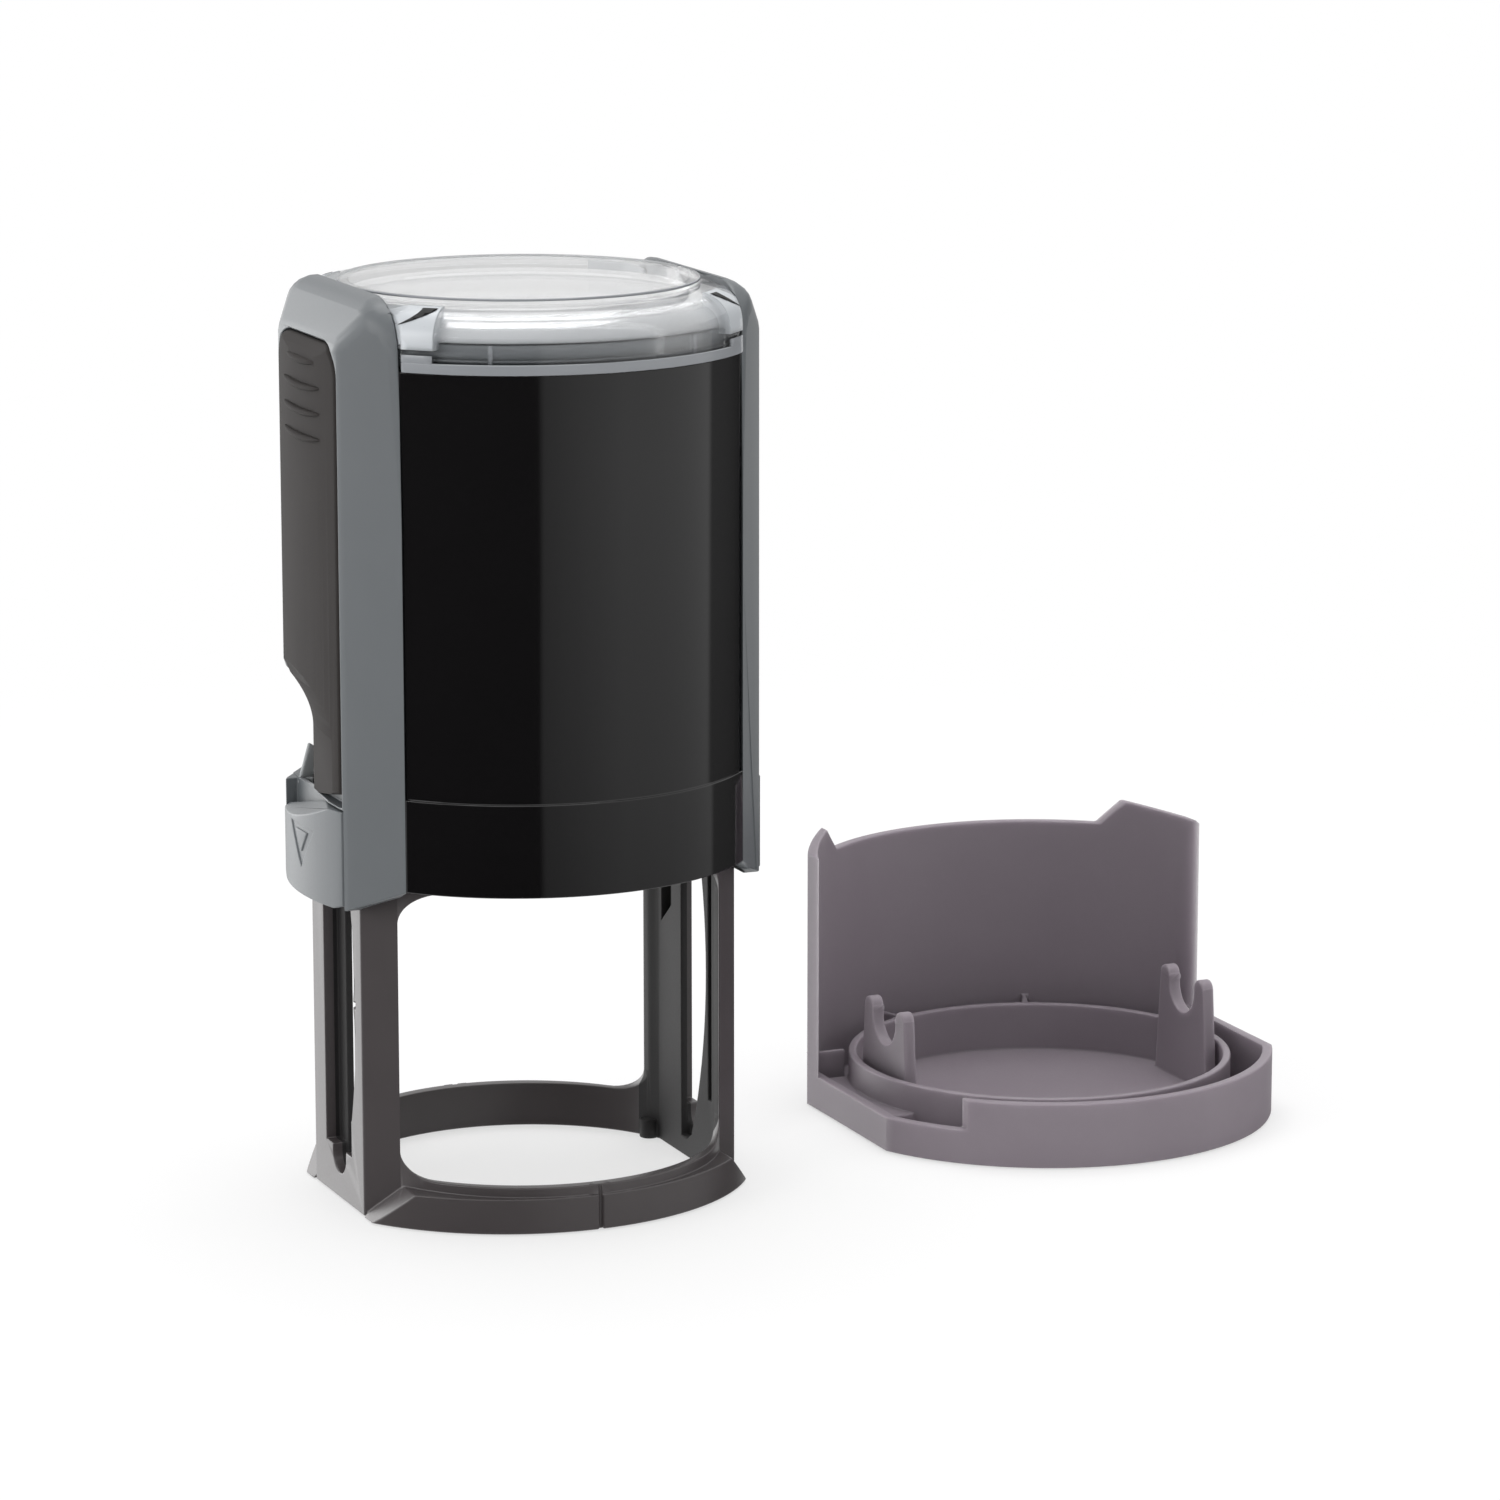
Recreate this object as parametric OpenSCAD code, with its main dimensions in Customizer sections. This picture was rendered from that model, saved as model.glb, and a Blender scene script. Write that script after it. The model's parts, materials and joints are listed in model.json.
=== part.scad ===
// Round self-inking stamp with its protective cap beside it, in millimetres.
// +X right, +Y away from the user's side, +Z up; the origin is the middle of the print on the table.

/* [Print] */
// Diameter of the round rubber text plate
plate_d = 41; // [38:0.5:41.5]
// Distance from the axle to the printing face of the text plate
face_r = 8; // [7.5:0.1:8.5]
// Height of the raised printing pattern on the text plate
relief_h = 0.5; // [0.3:0.1:0.8]
// Height of the pressed-down printing face above the paper
paper_gap = 0.3; // [0.2:0.1:0.8]

/* [Stroke] */
// How far the handle goes down for one print
travel = 33.5; // [31:0.5:33.5]
// Distance from the axle to the cam pins
cam_r = 4.5; // [4:0.1:5]
// Radius of the cam pins
cam_pin_r = 1.1; // [0.8:0.1:1.2]
// Radius of the steel axle of the plate holder
axle_r = 1.5; // [1.2:0.1:1.6]
// Space between the upturned plate and the ink pad, so that the plate's edge can swing past
pad_gap = 4.8; // [4.7:0.1:5.5]

/* [Base frame] */
// Space around the text plate, inside the opening of the base ring
plate_gap = 2.7; // [2.5:0.1:3]
// Height of the base ring
base_h = 5.5; // [4.5:0.1:6]
// Thickness of the base ring at its front and back
ring_wall = 1.9; // [1.6:0.1:2.2]
// How far the centre of the ring's front outline lies behind the axis
ring_shift = 4.1; // [3.8:0.1:4.4]
// How far a leg's inner face stands inside the round of the opening
leg_inset = 1.8; // [1.7:0.1:1.9]
// Half of the width of a leg's outer face
leg_half = 8.75; // [8.4:0.05:9]
// Thickness of a leg's inner wall, behind the channel
leg_wall = 0.9; // [0.8:0.05:1]
// Width of the channel down the outer face of each leg
channel_w = 9.2; // [9:0.1:9.6]
// Depth of that channel
channel_depth = 1.8; // [1.75:0.05:1.9]
// How far a leg's front and back edges stand in past its inner face
leg_lip = 0.8; // [0.5:0.1:1]
// How far the window between the legs ends below the panels' lower edge
window_drop = 0.6; // [0:0.1:1]
// Thickness of the wall around the top of the frame
frame_wall = 1.7; // [1.4:0.1:1.9]

/* [Casing] */
// Space between the frame and the black front and back panels
casing_gap = 1.4; // [1.2:0.1:1.8]
// Thickness of the panels
panel_wall = 1.5; // [1.2:0.1:1.6]
// Space left between the panels and the base ring with the handle down
ring_room = 2.4; // [2:0.1:3]
// Space left between the frame's bridge and the yoke with the handle down
bridge_room = 2.4; // [1.5:0.1:3]
// How far the seam line lies above the panels' lower edge
seam_up = 11.1; // [9:0.1:14]
// Thickness of the grey cheeks
cheek_wall = 2.35; // [2.3:0.05:2.5]
// Half of the width of a cheek's outer face
cheek_half = 10.5; // [10.3:0.1:10.8]
// How far a cheek reaches down below the panels
cheek_drop = 3.3; // [3:0.1:3.5]
// Height of the clear window above the panels
window_h = 8.1; // [7.5:0.1:9]
// Half of the width of the panels and the clear window between the cheeks
panel_x = 21.4; // [21:0.1:21.6]
// Running gap between the casing and the legs
slide_gap = 0.35; // [0.3:0.05:0.45]

/* [Grips and buttons] */
// Height of the crown of each soft grip above its cheek
grip_crown = 0.7; // [0.4:0.1:1]
// Depth of the recess that holds a grip
grip_depth = 1.3; // [1.1:0.1:1.5]
// Number of ridges on a grip
ridge_count = 4; // [3:1:5]
// Distance between ridges
ridge_pitch = 3.05; // [2.8:0.05:3.2]
// How far a lock button goes in
button_travel = 0.9; // [0.5:0.1:0.9]
// Height of a lock button
button_h = 11.9; // [11:0.1:13]

/* [Protective cap] */
// Radius of the cap's round sides
cap_r = 29.7; // [29.4:0.1:30.4]
// Half of the width across the cap's flat sides
cap_x = 27.1; // [26.9:0.1:27.6]
// Height of the cap's front wall
cap_h = 8.2; // [7.5:0.1:9]
// Thickness of the cap's walls and floor
cap_wall = 1.3; // [1.1:0.1:1.5]
// Height of the cap's curved back wall
cap_back_h = 31; // [28:0.5:34]
// Radius of the ring ridge on the cap's floor
cap_ridge_r = 24.4; // [24:0.1:24.8]
// Height of that ridge
cap_ridge_h = 7.4; // [6.5:0.1:8]
// How far to the right of the stamp the cap stands
cap_right = 72.2; // [68:0.1:80]
// How far behind the stamp's middle the cap stands
cap_back = 4.7; // [0:0.1:8]

/* [Hidden] */

$fn = 96;
far = 80;                                   // a length that runs past everything it cuts
fit = 0.05;                                 // radial clearance of a running fit
lay = 0.1;                                  // clearance between pieces that lie together
plate_r = plate_d / 2;
opening_r = plate_r + plate_gap;

// heights of the mechanism, with the handle up
axle_low = face_r + paper_gap;
axle_z = axle_low + travel;
felt_z = axle_z + face_r + pad_gap;
felt_t = 3;
felt_top = felt_z + felt_t;
tray_roof = 1.2;
tray_top = felt_top + tray_roof;
tray_skirt_z = felt_z + 0.8;
frame_top = tray_top + 3;
bridge_t = 1.8;
bridge_top = frame_top + bridge_t;

// heights of the casing, from the room that it needs when it is down
panel_z = base_h + travel + ring_room;
seam_z = panel_z + seam_up;
cheek_z = panel_z - cheek_drop;
window_top = panel_z - window_drop;
yoke_t = 2;
yoke_z = bridge_top + travel + bridge_room;
deck_t = 1.3;
deck_z = yoke_z + yoke_t;
panel_top = deck_z + deck_t;
casing_top = panel_top + window_h;
button_top = cheek_z + button_h;

// across the legs, from the inside out
inner_x = opening_r - leg_inset;
channel_x = inner_x + leg_wall;
leg_x = channel_x + channel_depth;
window_x = inner_x - leg_lip;
flank_y = leg_half + leg_x - window_x;
frame_r = opening_r + frame_wall;
ring_r = opening_r + ring_wall + ring_shift;
ring_step = 1.2;                            // how far the ring's wall stands up inside its skirt
skirt_h = base_h - ring_step;
skirt_x = leg_x + 0.2;                      // half of the skirt's width on the table
skirt_slope = 3.9;                          // how far its ends lean in up to its top
skirt_y = leg_half + 0.4;                   // where it starts in front of and behind the legs
upper_z = window_top + 6;                   // where the legs end and the frame's round top starts
channel_floor = base_h + 0.7;
cam_room = cam_pin_r + 0.35;                // half of the width of the cam pins' track
tongue_slot = 4.6;
tongue_floor = 3.1;

// arms of the yoke, in the channels
arm_gap = 0.2;
arm_t = channel_depth - 2 * arm_gap - 0.2;
arm_x = channel_x + arm_gap;
arm_w = channel_w - 0.8;
arm_foot = 1.6;                             // how far the arm's wide part reaches below the axle
tongue_w = tongue_slot - 0.5;
tongue_reach = 3.4;

// anti-slip feet, in bosses on the opening's wall
foot_angle = 27;
foot_x = opening_r * cos(foot_angle);
foot_y = opening_r * sin(foot_angle);
foot_r = 0.75;
foot_boss_r = 1.25;
foot_h = 2.4;

// across the casing
casing_in = frame_r + casing_gap;
casing_r = casing_in + panel_wall;
cheek_in = leg_x + slide_gap;
cheek_x = cheek_in + cheek_wall;
panel_y = sqrt(pow(casing_r, 2) - pow(panel_x, 2));
panel_in_y = sqrt(pow(casing_in, 2) - pow(panel_x, 2));
flank_run = cheek_x - panel_x;
flank_rise = panel_y - cheek_half;
cheek_in_y = panel_in_y - (cheek_in - panel_x) * flank_rise / flank_run;

// top of the casing
chamfer_x = panel_x + 1.7;                  // inner end of the sloping top of a cheek
chamfer_z = casing_top - 5.4;
shoulder_r = 7.2;                           // round upper corner of a cheek
window_wall = 1.4;
window_round = 4;
rim_r = panel_x + 0.2;
rim_h = 0.7;
window_shoulder = casing_top - rim_h;
card_t = 0.6;
card_top = casing_top - window_wall - lay;
card_r = rim_r - window_wall;
band_top = window_shoulder - window_round - lay;    // top of the grey band under the window
band_t = 1;

// spring, and the yoke's cup over it
cup_r = 6;
cup_wall = 1.2;
cup_top = band_top - band_t - lay;
spring_r = 5;
wire_r = 0.45;
spring_turns = 8;
spring_low = bridge_top + wire_r;
spring_high = cup_top - cup_wall - wire_r;
boss_r = spring_r - wire_r - 0.5;
boss_h = 5.5;

// grips
grip_half = cheek_half - 0.3;
grip_low = button_top + 0.5;
grip_high = chamfer_z - 0.2;
grip_corner = 4;
crown_r = (pow(grip_half, 2) + pow(grip_crown, 2)) / (2 * grip_crown);
ridge_drop = 12.45;                         // from the grip's upper edge to the lowest ridge
ridge_low = grip_high - ridge_drop;
ridge_arc = 66;
ridge_w = 0.7;
ridge_h = 0.35;
scoop_r = 14;
scoop_z = button_top + 8.3;
scoop_tilt = 6.3;

// cut-outs in the casing's back corners
notch_turn = 20;
notch_edge = cheek_x - 1.8;
notch_r = 5.6;

// lock buttons
button_gap = 0.2;
seat_wall = 0.65;
button_in = cheek_in + seat_wall + button_travel + lay;
button_bulge = 1.6;
button_y = cheek_half - 0.1;
bulge_r = (pow(button_y, 2) + pow(button_bulge, 2)) / (2 * button_bulge);
catch_z = button_top - 5;
catch_h = 2;
catch_half = 2;
arrow_top = button_top - 3.5;
arrow_h = 5;
arrow_half = 4;
arrow_deep = 0.5;

// turning plate, measured from the axle
foam_t = 1.4;
holder_t = 1.8;
plate_t = 2.2;
holder_top = face_r - plate_t - foam_t;
holder_r = plate_r + 0.2;
ear_x = inner_x - 0.35;
ear_t = 1.6;
pin_x = plate_r + lay;                      // inner end of the cam pins, beside the text plate

// ink cartridge
cartridge_half = inner_x - 1.2;

// ---------- helpers ----------

// the same on the right and on the left
module both_sides() {
    children();
    mirror([1, 0, 0]) children();
}

// stands an outline drawn as [y, z] upright, extruded along X from x0 to x1
module along_x(x0, x1) {
    translate([x0, 0, 0]) rotate([90, 0, 90]) linear_extrude(x1 - x0) children();
}

// stands an outline drawn as [x, z] upright, extruded along Y from y0 to y1
module along_y(y0, y1) {
    translate([0, y1, 0]) rotate([90, 0, 0]) linear_extrude(y1 - y0) children();
}

// a rectangle from the lower left to the upper right corner
module span(x0, y0, x1, y1) {
    translate([x0, y0]) square([x1 - x0, y1 - y0]);
}

module ring(r_out, r_in, z0, z1) {
    translate([0, 0, z0]) difference() {
        cylinder(r = r_out, h = z1 - z0);
        translate([0, 0, -1]) cylinder(r = r_in, h = z1 - z0 + 2);
    }
}

module disc(r, z0, z1) {
    translate([0, 0, z0]) cylinder(r = r, h = z1 - z0);
}

// ---------- base frame ----------

// outline of the legs and of the round wall between them
module frame_outline() {
    both_sides() polygon([[0, -flank_y], [window_x, -flank_y], [leg_x, -leg_half],
                          [leg_x, leg_half], [window_x, flank_y], [0, flank_y]]);
    // walls in front and behind, as round as the opening and running into the legs
    intersection() {
        for (s = [-1, 1]) translate([0, s * (frame_wall - lay)]) circle(opening_r);
        square([2 * window_x + 1, far], center = true);
    }
}

// outline of the frame's upper part, round inside the casing
module top_outline() {
    intersection() {
        circle(frame_r);
        square([2 * leg_x, far], center = true);
    }
}

module bore_outline() {
    intersection() {
        circle(opening_r);
        square([2 * inner_x, far], center = true);
    }
}

// skirt around the front and the back of the opening: two flat arcs with slanting ends
module skirt() {
    intersection() {
        linear_extrude(skirt_h) difference() {
            intersection() {
                translate([0, ring_shift]) circle(ring_r);
                translate([0, -ring_shift]) circle(ring_r);
            }
            square([far, 2 * skirt_y], center = true);
        }
        along_y(-far, far) polygon([[-skirt_x, 0], [skirt_x, 0], [skirt_x - skirt_slope, skirt_h],
                                    [skirt_slope - skirt_x, skirt_h]]);
    }
}

// window between the legs, with round corners, drawn as [x, z]; the ring's wall ends at its foot
module window_outline() {
    top_r = 4.6;
    low_r = 3;
    low = base_h;
    for (s = [-1, 1]) {
        translate([s * (window_x - top_r), window_top - top_r]) circle(top_r);
        translate([s * (window_x - low_r), low + low_r]) circle(low_r);
    }
    span(-window_x, low + low_r, window_x, window_top - top_r);
    span(low_r - window_x, low, window_x - low_r, window_top - top_r);
    span(top_r - window_x, low + low_r, window_x - top_r, window_top);
}

// where the cam pins go: t runs from 0, handle up, to 1, handle down
function cam_path(t) = [-cam_r * sin(180 * t), axle_z - travel * t + cam_r * cos(180 * t)];
function cam_way(t) = [-cam_r * PI * cos(180 * t), -travel - cam_r * PI * sin(180 * t)];
function cam_edge(t, off) = cam_path(t) + off * [cam_way(t)[1], -cam_way(t)[0]] / norm(cam_way(t));

// opening in a leg for the axle and the cam pin, bulged to the front where the pin swings out
module cam_opening() {
    off = cam_room;
    slot = axle_r + 0.3;
    steps = 20;
    polygon(concat([for (i = [0:steps]) cam_edge(i / steps, off)],
                   [[0, axle_low - cam_r - off], [slot, axle_low - cam_r - off],
                    [slot, axle_z + cam_r + off], [0, axle_z + cam_r + off]]));
}

// shallow hollow in a leg's outer face, beside the bulge of the cam opening
module cam_hollow() {
    off = cam_room + 0.6;
    steps = 12;
    polygon(concat([[1 - channel_w / 2, cam_edge(0.2, off)[1]]],
                   [for (i = [0:steps]) cam_edge(0.2 + 0.6 * i / steps, off)],
                   [[1 - channel_w / 2, cam_edge(0.8, off)[1]]]));
}

// channel down a leg's outer face, and the narrow slot at its foot
module channel_outline() {
    span(-channel_w / 2, channel_floor, channel_w / 2, frame_top + 1);
    translate([0, tongue_floor + tongue_slot / 2]) circle(tongue_slot / 2);
    span(-tongue_slot / 2, tongue_floor + tongue_slot / 2, tongue_slot / 2, channel_floor + 1);
}

// hollows in a leg's inner face, one behind and one in front of the cam opening
module leg_pockets() {
    deep = 1.3;
    edge = channel_w / 2 + 0.5;
    top = frame_top - 3;
    block_z = axle_z - 10.8;                // solid block below the pocket behind
    slope = 2.5;
    along_x(inner_x - 1, inner_x + deep) {
        polygon([[edge, block_z], [leg_half - 0.6, block_z - slope], [leg_half - 0.6, top],
                 [edge, top]]);
        span(1 - leg_half, base_h + 3.5, -edge - 1.7, top);
    }
}

module boss_places() {
    for (sx = [-1, 1], sy = [-1, 1])
        translate([sx * foot_x, sy * foot_y, 0]) children();
}

module base_frame() {
    mark = 0.5;
    mark_deep = 0.4;
    hollow_deep = 0.5;
    peg_hole_r = 0.45;
    color([0.16, 0.15, 0.15]) difference() {
        union() {
            difference() {
                union() {
                    linear_extrude(upper_z) frame_outline();
                    translate([0, 0, upper_z - 1]) linear_extrude(frame_top - upper_z + 1)
                        top_outline();
                }
                along_y(-far, far) window_outline();
            }
            skirt();
            boss_places() cylinder(r = foot_boss_r, h = foot_h);
        }
        difference() {
            translate([0, 0, -1]) linear_extrude(frame_top + 2) bore_outline();
            boss_places() cylinder(r = foot_boss_r, h = foot_h);
        }
        both_sides() {
            along_x(channel_x, leg_x + 1) channel_outline();
            along_x(inner_x - 1, channel_x + 0.3) cam_opening();
            along_x(leg_x - hollow_deep, leg_x + 1) cam_hollow();
            along_x(leg_x - 2 * hollow_deep, leg_x + 1)
                translate([-channel_w / 2 - 0.4, (axle_low + axle_z) / 2]) circle(peg_hole_r);
            leg_pockets();
        }
        boss_places() translate([0, 0, -1]) cylinder(r = foot_r + 0.03, h = foot_h);
        // centre marks on the front and back of the ring
        for (s = [-1, 1]) translate([0, s * (ring_r - ring_shift), base_h / 2])
            cube([mark, 2 * mark_deep, base_h + 1], center = true);
    }
}

module anti_slip_feet() {
    color([0.1, 0.1, 0.1]) boss_places() cylinder(r = foot_r, h = foot_h - 1);
}

// ---------- ink cartridge and the bridge that holds it ----------

module frame_bridge() {
    rail_x = cartridge_half + lay;
    color([0.2, 0.2, 0.2]) {
        difference() {
            union() {
                translate([0, 0, frame_top]) linear_extrude(bridge_t) intersection() {
                    top_outline();
                    square([2 * (channel_x - 0.2), far], center = true);
                }
                // rails that carry the cartridge by its side flanges
                both_sides() intersection() {
                    along_y(-far, far) {
                        span(rail_x, tray_skirt_z, inner_x - lay, frame_top);
                        span(rail_x - 1.1, tray_skirt_z, inner_x - lay, tray_top - tray_roof - lay);
                    }
                    disc(opening_r - lay, 0, frame_top);
                }
                disc(boss_r, bridge_top - 0.1, bridge_top + boss_h);
            }
            disc(boss_r - 1.2, bridge_top - bridge_t - 1, bridge_top + boss_h - 1.2);
        }
    }
}

module cartridge_outline(r, half) {
    intersection() {
        circle(r);
        square([2 * half, far], center = true);
    }
}

module ink_cartridge() {
    tub_half = cartridge_half - 1.3;
    tub_r = opening_r - 0.5;
    tab_w = 10;
    tab_t = 1.2;
    color([0.24, 0.24, 0.26]) {
        difference() {
            union() {
                translate([0, 0, felt_top]) linear_extrude(tray_roof)
                    cartridge_outline(tub_r, cartridge_half);
                translate([0, 0, tray_skirt_z]) linear_extrude(felt_top - tray_skirt_z + 0.1)
                    cartridge_outline(tub_r, tub_half);
            }
            translate([0, 0, tray_skirt_z - 1]) linear_extrude(felt_top - tray_skirt_z + 1)
                cartridge_outline(tub_r - 1, tub_half - 0.8);
        }
        // push tabs on the roof, to slide the cartridge out
        for (s = [-1, 1]) translate([0, s * (tub_r - 3), tray_top + 0.8])
            cube([tab_w, tab_t, 1.8], center = true);
    }
}

module ink_felt() {
    color([0.12, 0.1, 0.3]) translate([0, 0, felt_z]) linear_extrude(felt_t)
        cartridge_outline(opening_r - 1.6, cartridge_half - 2.2);
}

// ---------- casing ----------

// finger scoop in the lower end of a grip, deeper towards the back
module scoop() {
    translate([cheek_x + 0.5, -grip_half, 0]) rotate([0, 0, scoop_tilt]) {
        translate([scoop_r, 0, scoop_z]) rotate([-90, 0, 0]) translate([0, 0, -1])
            cylinder(r = scoop_r, h = far);
        translate([0, -1, button_top]) cube([far, far, scoop_z - button_top]);
    }
}

// cut-out through the back corner of the casing, above the lock button, with a round top;
// grow takes it further in
module corner_notch(grow) {
    edge = notch_edge - grow;
    rotate([0, 0, notch_turn]) {
        intersection() {
            translate([edge + notch_r, far, scoop_z]) rotate([90, 0, 0])
                cylinder(r = notch_r, h = 2 * far);
            translate([edge, -far, scoop_z - 0.01]) cube([far, 2 * far, far]);
        }
        translate([edge + notch_r - 0.01, -far, scoop_z])
            cube([far, 2 * far, notch_r + 1]);
        translate([edge, -far, button_top + 0.1]) cube([far, 2 * far, scoop_z - button_top]);
    }
}

module cover_shell() {
    step = 0.3;
    color([0.06, 0.05, 0.06]) difference() {
        union() {
            intersection() {
                union() {
                    ring(casing_r - step, casing_in, panel_z, panel_top);
                    ring(casing_r, casing_in, panel_z, seam_z);
                }
                cube([2 * panel_x, far, 4 * far], center = true);
            }
            // deck that the yoke bears on, and that joins the two panels
            intersection() {
                disc(casing_in + 0.1, deck_z, panel_top);
                cube([2 * panel_x, far, 4 * far], center = true);
            }
            intersection() {
                disc(casing_in - 0.1, deck_z, panel_top);
                cube([2 * (cheek_in - 0.15), far, 4 * far], center = true);
            }
        }
        disc(cup_r + cup_wall + 0.4, deck_z - 1, panel_top + 1);
        both_sides() corner_notch(0);
    }
}

// outline of the right cheek, seen from above
module cheek_outline() {
    polygon([[panel_x, -panel_y], [cheek_x, -cheek_half], [cheek_x, cheek_half], [panel_x, panel_y]]);
}

// and of the room inside it
module cheek_cavity() {
    polygon([[0, -panel_in_y], [panel_x, -panel_in_y], [cheek_in, -cheek_in_y],
             [cheek_in, cheek_in_y], [panel_x, panel_in_y], [0, panel_in_y]]);
}

// the same cheek seen from the side, drawn as [y, z], with its round shoulders
module cheek_side() {
    for (s = [-1, 1]) translate([s * (panel_y - shoulder_r), casing_top - shoulder_r])
        circle(shoulder_r);
    polygon([[-cheek_half, cheek_z], [cheek_half, cheek_z], [panel_y, panel_z],
             [panel_y, casing_top - shoulder_r], [panel_y - shoulder_r, casing_top],
             [shoulder_r - panel_y, casing_top], [-panel_y, casing_top - shoulder_r],
             [-panel_y, panel_z]]);
}

// the side of a grip, and of its recess, drawn as [y, z], with round upper corners
module grip_side(half, low, high) {
    polygon(concat([[-half, low], [half, low]],
                   [for (a = [0:10:90]) [half - grip_corner + grip_corner * cos(a),
                                         high - grip_corner + grip_corner * sin(a)]],
                   [for (a = [90:10:180]) [grip_corner - half + grip_corner * cos(a),
                                           high - grip_corner + grip_corner * sin(a)]]));
}

module cheek() {
    floor_x = cheek_x - grip_depth;
    hollow_wall = 1.3;
    hollow_h = 4.2;
    difference() {
        intersection() {
            linear_extrude(casing_top) cheek_outline();
            along_x(0, far) cheek_side();
            along_y(-far, far) polygon([[0, 0], [cheek_x, 0], [cheek_x, chamfer_z],
                                        [chamfer_x, casing_top], [0, casing_top]]);
        }
        translate([0, 0, -1]) linear_extrude(panel_top + 1) cheek_cavity();
        // hollow top
        translate([panel_x + hollow_wall, -cheek_half, panel_top - 1])
            cube([cheek_in - panel_x - hollow_wall, 2 * cheek_half, hollow_h]);
        along_x(floor_x, far) grip_side(grip_half, grip_low, grip_high);
        scoop();
        corner_notch(0.5);
        // seat of the lock button, and a hole in its back wall for the catch
        translate([cheek_in + seat_wall, -button_y - button_gap / 2, 0])
            cube([far, 2 * button_y + button_gap, button_top + button_gap]);
        along_x(0, far) span(-catch_half - button_gap, catch_z - button_gap,
                             catch_half + button_gap, catch_z + catch_h + button_gap);
    }
}

module grip() {
    floor_x = cheek_x - grip_depth + 0.02;
    difference() {
        intersection() {
            along_x(floor_x, far) grip_side(grip_half - fit, grip_low, grip_high - fit);
            translate([cheek_x + grip_crown - crown_r, 0, 0])
                cylinder(r = crown_r, h = far * 2, $fn = 720);
        }
        scoop();
        corner_notch(0);
    }
    ridges();
}

// curved ridges across the top of a grip, each a short arc of a wide tube; the top one is shorter
module ridges() {
    for (i = [0:ridge_count - 1]) {
        z = ridge_low + i * ridge_pitch;
        reach = i == ridge_count - 1 ? 5 : 6.3;
        translate([cheek_x - 0.4, 0, z]) intersection() {
            translate([0, 0, ridge_arc]) rotate([0, 90, 0])
                cylinder(r = ridge_arc, h = grip_crown + 0.4 + ridge_h, $fn = 720);
            difference() {
                translate([0, -reach, -1]) cube([far, 2 * reach, 3]);
                translate([-1, 0, ridge_arc]) rotate([0, 90, 0])
                    cylinder(r = ridge_arc - ridge_w, h = far, $fn = 720);
            }
        }
    }
}

module left_cheek() {
    color([0.42, 0.43, 0.45]) mirror([1, 0, 0]) cheek();
}

module right_cheek() {
    color([0.42, 0.43, 0.45]) cheek();
}

module left_grip() {
    color([0.25, 0.24, 0.24]) mirror([1, 0, 0]) grip();
}

module right_grip() {
    color([0.25, 0.24, 0.24]) grip();
}

// ---------- lock buttons ----------

// an arrow that points down, drawn as [y, z]
module arrow_outline() {
    polygon([[-arrow_half, arrow_top], [arrow_half, arrow_top], [0, arrow_top - arrow_h]]);
}

module lock_button() {
    corner = [2, 0.6];
    difference() {
        union() {
            intersection() {
                translate([cheek_x + button_bulge - bulge_r, 0, 0])
                    cylinder(r = bulge_r, h = button_top, $fn = 360);
                along_x(button_in, far) polygon([
                    [-button_y, cheek_z + corner[1]], [corner[0] - button_y, cheek_z],
                    [button_y - corner[0], cheek_z], [button_y, cheek_z + corner[1]],
                    [button_y, button_top], [-button_y, button_top]]);
            }
            // catch that drops into the leg's channel when the button is pressed
            along_x(cheek_in + 0.2, button_in + 0.5)
                span(-catch_half, catch_z, catch_half, catch_z + catch_h);
        }
        // sunk outline of the arrow
        along_x(cheek_x + button_bulge - arrow_deep, far) difference() {
            arrow_outline();
            translate([0, 0.35]) offset(delta = -0.9) arrow_outline();
        }
    }
}

module left_lock_button() {
    color([0.5, 0.5, 0.5]) mirror([1, 0, 0]) lock_button();
}

module right_lock_button() {
    color([0.5, 0.5, 0.5]) lock_button();
}

// ---------- top: card tray, card and clear window ----------

module between_cheeks() {
    intersection() {
        children();
        cube([2 * (panel_x - lay), far, 4 * far], center = true);
    }
}

module card_tray() {
    band_r = casing_r - window_wall - lay;
    color([0.5, 0.51, 0.53]) between_cheeks() {
        difference() {
            disc(band_r, panel_top, band_top);
            disc(band_r - 1.2, panel_top - 1, band_top - band_t);
        }
        disc(card_r - 1, band_top - 0.1, card_top - card_t);
    }
}

module index_card() {
    color([0.93, 0.93, 0.93]) disc(card_r, card_top - card_t, card_top);
}

module clear_window() {
    inner_r = casing_r - window_wall;
    top_r = casing_r - window_round;
    color([0.9, 0.93, 0.95, 0.4]) between_cheeks() difference() {
        union() {
            disc(casing_r, panel_top, window_shoulder - window_round);
            rotate_extrude() {
                square([top_r, window_shoulder]);
                translate([top_r, window_shoulder - window_round]) intersection() {
                    circle(window_round);
                    square(window_round);
                }
            }
            disc(rim_r, window_shoulder - 0.1, casing_top);
        }
        disc(inner_r, -1, window_shoulder - window_round);
        rotate_extrude() {
            square([top_r, window_shoulder - window_wall]);
            translate([top_r, window_shoulder - window_round]) intersection() {
                circle(window_round - window_wall);
                square(window_round);
            }
        }
        disc(card_r + lay, 0, casing_top - window_wall);
    }
}

// ---------- yoke and spring ----------

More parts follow.
